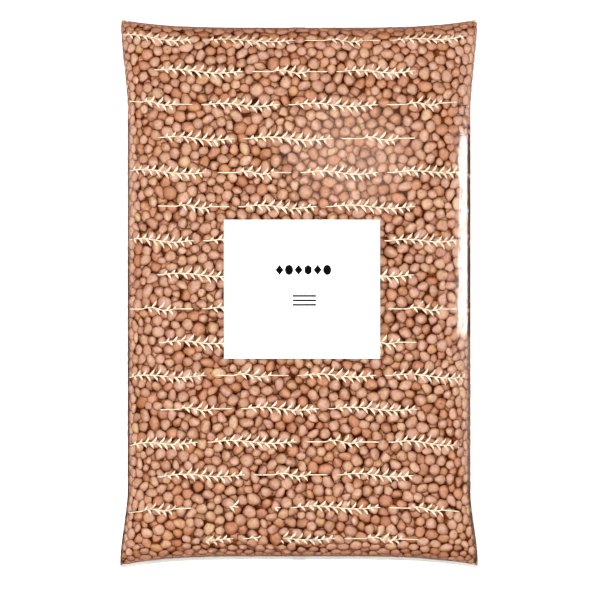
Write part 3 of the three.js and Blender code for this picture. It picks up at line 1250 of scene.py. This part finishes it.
@dataclass(frozen=True)
class DriedChickpeaSkin:
    """Dried chickpea seed coat: matt, finely wrinkled, tan to pinkish, with a darker hilum.

    The tone differs from pea to pea, so that the heap reads as many separate seeds. Painted shade darkens
    the coat where it is seen at a slant, which rounds each pea. A further painted shade darkens and warms
    the copy for those that only get light from between the others.
    """

    name: str = "dried_chickpea_skin"
    # Painted shade multiplied into the coat; white leaves the coat as it is.
    shade: str = "FFFFFF"
    pink_tones: tuple[tuple[float, str], ...] = (
        (0.0, "9B7262"),
        (0.08, "A17A6A"),
        (0.5, "A78172"),
        (0.92, "AC8778"),
        (1.0, "B18E7E"),
    )
    ochre_tones: tuple[tuple[float, str], ...] = (
        (0.0, "996F57"),
        (0.08, "A07A61"),
        (0.5, "A68169"),
        (0.92, "AC886E"),
        (1.0, "AE926C"),
    )
    hilum: str = "6E4425"
    # Painted shade: the coat darkens where it is seen at a slant.
    painted_slant_shade: tuple[tuple[float, str], ...] = (
        (0.1, "FFFFFF"),
        (0.4, "EAD6C6"),
        (0.7, "CFA68A"),
        (0.95, "A46C48"),
    )
    wrinkle: float = 0.9 * MM
    dent: float = 4.5 * MM
    mottle: float = 2.6 * MM
    patch: float = 7 * MM
    roughness: float = 0.8
    sheen: float = 0.05

    def make(self) -> bpy.types.Material:
        """Returns the material."""
        material, tree = new_material(self.name)
        skin = add_node(tree, "Attribute", attribute_name="skin")
        tone = add_node(tree, "Attribute", attribute_name="tone")
        hilum = add_node(tree, "Attribute", attribute_name="hilum")
        pink = add_node(tree, "ValToRGB", {0: tone.outputs["Fac"]})
        fill_ramp(pink, self.pink_tones)
        ochre = add_node(tree, "ValToRGB", {0: tone.outputs["Fac"]})
        fill_ramp(ochre, self.ochre_tones)
        patch = add_node(tree, "TexNoise", {"Vector": skin.outputs["Vector"], "Scale": 1 / self.patch, "Detail": 1.0})
        side = add_node(tree, "MapRange", {"Value": patch.outputs["Fac"], "From Min": 0.36, "From Max": 0.64})
        coat = add_node(
            tree,
            "MixRGB",
            {"Fac": side.outputs["Result"], "Color1": pink.outputs["Color"], "Color2": ochre.outputs["Color"]},
        )
        blotch = add_node(
            tree, "TexNoise", {"Vector": skin.outputs["Vector"], "Scale": 1 / self.mottle, "Detail": 3.0}
        )
        shade = add_node(
            tree,
            "MapRange",
            {"Value": blotch.outputs["Fac"], "From Min": 0.3, "From Max": 0.7, "To Min": 0.80, "To Max": 1.15},
        )
        mottled = add_node(
            tree,
            "MixRGB",
            {"Fac": 1.0, "Color1": coat.outputs["Color"], "Color2": shade.outputs["Result"]},
            blend_type="MULTIPLY",
        )
        spot = add_node(
            tree, "MapRange", {"Value": hilum.outputs["Fac"], "From Min": 0.66, "From Max": 0.82, "To Max": 0.8}
        )
        spotted = add_node(
            tree,
            "MixRGB",
            {"Fac": spot.outputs["Result"], "Color1": mottled.outputs["Color"], "Color2": srgb(self.hilum)},
        )
        # Painted shade: darker where the coat is seen at a slant.
        slope = add_node(tree, "LayerWeight")
        painted_slant_shade = add_node(tree, "ValToRGB", {0: slope.outputs["Facing"]})
        fill_ramp(painted_slant_shade, self.painted_slant_shade)
        rounded = add_node(
            tree,
            "MixRGB",
            {"Fac": 1.0, "Color1": spotted.outputs["Color"], "Color2": painted_slant_shade.outputs["Color"]},
            blend_type="MULTIPLY",
        )
        # The copy's painted shade, multiplied in.
        shaded = add_node(
            tree,
            "MixRGB",
            {"Fac": 1.0, "Color1": rounded.outputs["Color"], "Color2": srgb(self.shade)},
            blend_type="MULTIPLY",
        )
        crease = add_node(
            tree,
            "TexNoise",
            {"Vector": skin.outputs["Vector"], "Scale": 1 / self.wrinkle, "Detail": 4.0, "Distortion": 0.8},
        )
        dents = add_node(tree, "TexNoise", {"Vector": skin.outputs["Vector"], "Scale": 1 / self.dent, "Detail": 1.0})
        hollows = add_node(tree, "Bump", {"Height": dents.outputs["Fac"], "Strength": 0.8, "Distance": 1.6 * MM})
        bump = add_node(
            tree,
            "Bump",
            {
                "Height": crease.outputs["Fac"],
                "Strength": 0.8,
                "Distance": 0.3 * MM,
                "Normal": hollows.outputs["Normal"],
            },
        )
        surface = add_node(
            tree,
            "BsdfPrincipled",
            {
                "Base Color": shaded.outputs["Color"],
                "Roughness": self.roughness,
                "Specular IOR Level": self.sheen,
                "Normal": bump.outputs["Normal"],
            },
        )
        add_node(tree, "OutputMaterial", {"Surface": surface.outputs["BSDF"]})
        return material


@dataclass(frozen=True)
class ShadedCore:
    """Painted shade of the chickpeas too deep to be lit: a dark lumpy brown, lighter at each lump's middle, that fills
    the last gaps.
    """

    dark: str = "3C180A"
    light: str = "703A1A"
    lump: float = 9 * MM

    def make(self) -> bpy.types.Material:
        """Returns the material."""
        material, tree = new_material("shaded_chickpea_core")
        place = add_node(tree, "TexCoord")
        cells = add_node(tree, "TexVoronoi", {"Vector": place.outputs["Object"], "Scale": 1 / self.lump})
        ramp = add_node(tree, "ValToRGB", {0: cells.outputs["Distance"]})
        fill_ramp(ramp, [(0.1, self.light), (0.6, self.dark)])
        bump = add_node(
            tree, "Bump", {"Height": cells.outputs["Distance"], "Distance": 3 * MM, "Strength": 1.0}, invert=True
        )
        surface = add_node(
            tree,
            "BsdfPrincipled",
            {"Base Color": ramp.outputs["Color"], "Roughness": 0.8, "Normal": bump.outputs["Normal"]},
        )
        add_node(tree, "OutputMaterial", {"Surface": surface.outputs["BSDF"]})
        return material


@dataclass(frozen=True)
class PackingFilm:
    """Clear polypropylene packing film, which only shows by its gloss.

    It looks darker edge-on. Painted shade makes it darker and without gloss along the side folds and browner
    beside both seals, and painted sheen makes it a little milky in soft places.
    """

    ior: float = 1.49
    clear: str = "FCFCFB"
    edge: str = "CBBBAF"
    edge_start: float = 0.66
    edge_full: float = 0.92
    # Painted shade along the side folds.
    painted_fold_shade: str = "847A74"
    # Painted shade: browner beside both seals.
    end_shade_brown: str = "CFAE94"
    # Painted sheen: a milky diffuse white in soft places.
    painted_sheen_milk: str = "F8D2BC"
    most_painted_sheen: float = 0.08
    gloss_roughness: float = 0.22
    most_gloss: float = 0.013
    ripple: float = 14 * MM

    def make(self) -> bpy.types.Material:
        """Returns the material."""
        material, tree = new_material("clear_packing_film")
        place = add_node(tree, "TexCoord")
        ripple = add_node(
            tree, "TexNoise", {"Vector": place.outputs["Object"], "Scale": 1 / self.ripple, "Detail": 2.0}
        )
        bump = add_node(tree, "Bump", {"Height": ripple.outputs["Fac"], "Strength": 0.2, "Distance": 0.6 * MM})
        angle = add_node(tree, "Fresnel", {"IOR": self.ior, "Normal": bump.outputs["Normal"]})
        both_faces = add_node(
            tree,
            "MapRange",
            {"Value": angle.outputs["Fac"], "From Max": 0.08, "To Max": self.most_gloss},
        )
        slope = add_node(tree, "LayerWeight")
        edge_on = add_node(tree, "ValToRGB", {0: slope.outputs["Facing"]})
        fill_ramp(edge_on, [(self.edge_start, self.clear), (self.edge_full, self.edge)])
        # Painted shade: darker along the side folds.
        crease = add_node(tree, "Attribute", attribute_name="crease")
        fold_shaded = add_node(
            tree,
            "MixRGB",
            {"Fac": crease.outputs["Fac"], "Color1": edge_on.outputs["Color"], "Color2": srgb(self.painted_fold_shade)},
            blend_type="MULTIPLY",
        )
        # Painted shade: browner beside both seals.
        painted_end_shade = add_node(tree, "Attribute", attribute_name="painted_end_shade")
        end_shaded = add_node(
            tree,
            "MixRGB",
            {"Fac": painted_end_shade.outputs["Fac"], "Color1": fold_shaded.outputs["Color"], "Color2": srgb(self.end_shade_brown)},
            blend_type="MULTIPLY",
        )
        through = add_node(tree, "BsdfTransparent", {"Color": end_shaded.outputs["Color"]})
        # Painted sheen: a milky diffuse share.
        painted_sheen = add_node(tree, "Attribute", attribute_name="painted_sheen")
        painted_sheen_share = add_node(tree, "MapRange", {"Value": painted_sheen.outputs["Fac"], "To Max": self.most_painted_sheen})
        painted_sheen_milk = add_node(tree, "BsdfDiffuse", {"Color": srgb(self.painted_sheen_milk)})
        body = add_node(
            tree, "MixShader", {"Fac": painted_sheen_share.outputs["Result"], 1: through.outputs["BSDF"], 2: painted_sheen_milk.outputs["BSDF"]}
        )
        # The painted fold shade also takes the gloss away.
        smooth = add_node(tree, "MapRange", {"Value": crease.outputs["Fac"], "To Min": 1.0, "To Max": 0.0})
        shine = add_node(
            tree, "Math", {0: both_faces.outputs["Result"], 1: smooth.outputs["Result"]}, operation="MULTIPLY"
        )
        gloss = add_node(
            tree, "BsdfAnisotropic", {"Roughness": self.gloss_roughness, "Normal": bump.outputs["Normal"]}
        )
        surface = add_node(
            tree,
            "MixShader",
            {"Fac": shine.outputs["Value"], 1: body.outputs["Shader"], 2: gloss.outputs["BSDF"]},
        )
        add_node(tree, "OutputMaterial", {"Surface": surface.outputs["Shader"]})
        return material


@dataclass(frozen=True)
class CrimpedWeld:
    """Film welded and crimped by hot jaws: stress whitens it, so it looks frosted."""

    name: str = "crimped_film_weld"
    white: str = "E7E5E1"
    whitening: float = 0.4

    def make(self) -> bpy.types.Material:
        """Returns the material."""
        material, tree = new_material(self.name)
        through = add_node(tree, "BsdfTransparent", {"Color": srgb(self.white)})
        frost = add_node(tree, "BsdfDiffuse", {"Color": srgb(self.white)})
        mix = add_node(
            tree, "MixShader", {"Fac": self.whitening, 1: through.outputs["BSDF"], 2: frost.outputs["BSDF"]}
        )
        add_node(tree, "OutputMaterial", {"Surface": mix.outputs["Shader"]})
        return material


@dataclass(frozen=True)
class WhiteFilmInk:
    """White flexographic ink on film: slightly warm, and see-through where the layer is thin."""

    white: str = "D6C3AC"
    spot: float = 3 * MM
    thinnest: float = 0.5

    def make(self) -> bpy.types.Material:
        """Returns the material."""
        material, tree = new_material("white_film_ink")
        place = add_node(tree, "TexCoord")
        spots = add_node(tree, "TexNoise", {"Vector": place.outputs["Object"], "Scale": 1 / self.spot, "Detail": 2.0})
        cover = add_node(
            tree,
            "MapRange",
            {"Value": spots.outputs["Fac"], "From Min": 0.32, "From Max": 0.55, "To Min": self.thinnest},
        )
        through = add_node(tree, "BsdfTransparent")
        ink = add_node(tree, "BsdfDiffuse", {"Color": srgb(self.white)})
        surface = add_node(
            tree, "MixShader", {"Fac": cover.outputs["Result"], 1: through.outputs["BSDF"], 2: ink.outputs["BSDF"]}
        )
        add_node(tree, "OutputMaterial", {"Surface": surface.outputs["Shader"]})
        return material


@dataclass(frozen=True)
class LabelPaper:
    """Coated white label paper: very bright and smooth, with the faintest fibre."""

    white: str = "FCFCFB"
    fibre: float = 0.7 * MM

    def make(self) -> bpy.types.Material:
        """Returns the material."""
        material, tree = new_material("coated_label_paper")
        place = add_node(tree, "TexCoord")
        fibres = add_node(
            tree, "TexNoise", {"Vector": place.outputs["Object"], "Scale": 1 / self.fibre, "Detail": 3.0}
        )
        bump = add_node(tree, "Bump", {"Height": fibres.outputs["Fac"], "Strength": 0.15, "Distance": 0.05 * MM})
        surface = add_node(
            tree,
            "BsdfPrincipled",
            {"Base Color": srgb(self.white), "Roughness": 0.5, "Normal": bump.outputs["Normal"]},
        )
        add_node(tree, "OutputMaterial", {"Surface": surface.outputs["BSDF"]})
        return material


@dataclass(frozen=True)
class BlackPrintInk:
    """Black toner on the label: dense and slightly satin."""

    black: str = "080808"

    def make(self) -> bpy.types.Material:
        """Returns the material."""
        material, tree = new_material("black_label_print")
        surface = add_node(
            tree,
            "BsdfPrincipled",
            {"Base Color": srgb(self.black), "Roughness": 0.7, "Specular IOR Level": 0.15},
        )
        add_node(tree, "OutputMaterial", {"Surface": surface.outputs["BSDF"]})
        return material


class Seen(Enum):
    """What a soft box does: it lights surfaces, or it only shines in their gloss."""

    IN_DIFFUSE = "in diffuse"
    IN_GLOSS = "in gloss"


@dataclass
class Studio:
    """A pale floor, soft studio light and a camera that looks straight down on the bag."""

    camera_height: float = 2.2
    camera_place: tuple[float, float] = (0.8 * MM, -4.1 * MM)
    seen_width: float = 493.5 * MM
    sharp_level: float = 26 * MM
    sensor: float = 36.0
    floor_half: float = 4.0
    floor_white: str = "FBFBFB"

    def build(self) -> None:
        """Makes the floor, the lights, the surroundings and the camera."""
        bpy.context.scene.view_settings.view_transform = "Standard"
        self.floor()
        self.surroundings()
        self.area_light("overhead", (-0.10, 0.0, 2.3), (0, 0, 0.03), (1.0, 1.0), 79.0, Seen.IN_DIFFUSE)
        self.area_light("left", (-1.55, 0.10, 1.65), (0, 0, 0.03), (0.9, 0.7), 30.0, Seen.IN_DIFFUSE)
        self.area_light("right", (1.55, 0.10, 1.65), (0, 0, 0.03), (0.9, 0.7), 30.0, Seen.IN_DIFFUSE)
        self.area_light("rim", (0.198, 0.053, 0.034), (0.14, 0.053, 0.034), (0.168, 0.068), 3.4, Seen.IN_GLOSS)
        self.camera()

    def floor(self) -> None:
        """Makes the floor."""
        shape = bmesh.new()
        bmesh.ops.create_grid(shape, x_segments=1, y_segments=1, size=self.floor_half)
        material, tree = new_material("pale_floor")
        surface = add_node(
            tree,
            "BsdfPrincipled",
            {"Base Color": srgb(self.floor_white), "Roughness": 0.9, "Specular IOR Level": 0.0},
        )
        add_node(tree, "OutputMaterial", {"Surface": surface.outputs["BSDF"]})
        mesh = mesh_of(shape)
        mesh.materials.append(material)
        floor = bpy.data.objects.new("floor", mesh)
        bpy.context.scene.collection.objects.link(floor)

    def surroundings(self) -> None:
        """Makes an even pale studio all round."""
        world = bpy.data.worlds.new("studio")
        world.use_nodes = True
        world.node_tree.nodes["Background"].inputs["Color"].default_value = (1, 1, 1, 1)
        world.node_tree.nodes["Background"].inputs["Strength"].default_value = 0.15
        world.cycles_visibility.glossy = False
        bpy.context.scene.world = world

    def area_light(
        self,
        name: str,
        place: tuple[float, float, float],
        target: tuple[float, float, float],
        size: tuple[float, float],
        power: float,
        seen: Seen,
    ) -> None:
        """Hangs one soft box.

        Args:
            name: The light's name.
            place: Where it hangs.
            target: What it points at.
            size: Its width and height.
            power: Its power in watts.
            seen: Whether it only lights surfaces or only shines in their gloss.
        """
        lamp = bpy.data.lights.new(name, "AREA")
        lamp.shape = "RECTANGLE"
        lamp.size, lamp.size_y = size
        lamp.energy = power
        light = bpy.data.objects.new(name, lamp)
        light.visible_camera = False
        light.visible_glossy = seen is Seen.IN_GLOSS
        light.visible_diffuse = seen is Seen.IN_DIFFUSE
        light.location = place
        light.rotation_euler = (Vector(target) - Vector(place)).to_track_quat("-Z", "Y").to_euler()
        bpy.context.scene.collection.objects.link(light)

    def camera(self) -> None:
        """Makes the camera, far enough away for the photograph's flat perspective."""
        lens = bpy.data.cameras.new("camera")
        lens.sensor_width = self.sensor
        lens.lens = self.sensor * (self.camera_height - self.sharp_level) / self.seen_width
        camera = bpy.data.objects.new("camera", lens)
        camera.location = (*self.camera_place, self.camera_height)
        camera.rotation_euler = (0, 0, 0)
        bpy.context.scene.collection.objects.link(camera)
        bpy.context.scene.camera = camera


def main() -> None:
    """Builds the bag from the inside out, then the studio round it."""
    Studio().build()
    form = BagForm()
    heap = ChickpeaHeap(EdgeSqueeze(form))
    heap.settle()
    Chickpeas(heap).build()
    Core(form).build()
    film = Film(form, heap)
    film.build()
    LapSeam(form).build()
    FilmPrint(form, film).build()
    Label().build()


if __name__ == "__main__":
    main()
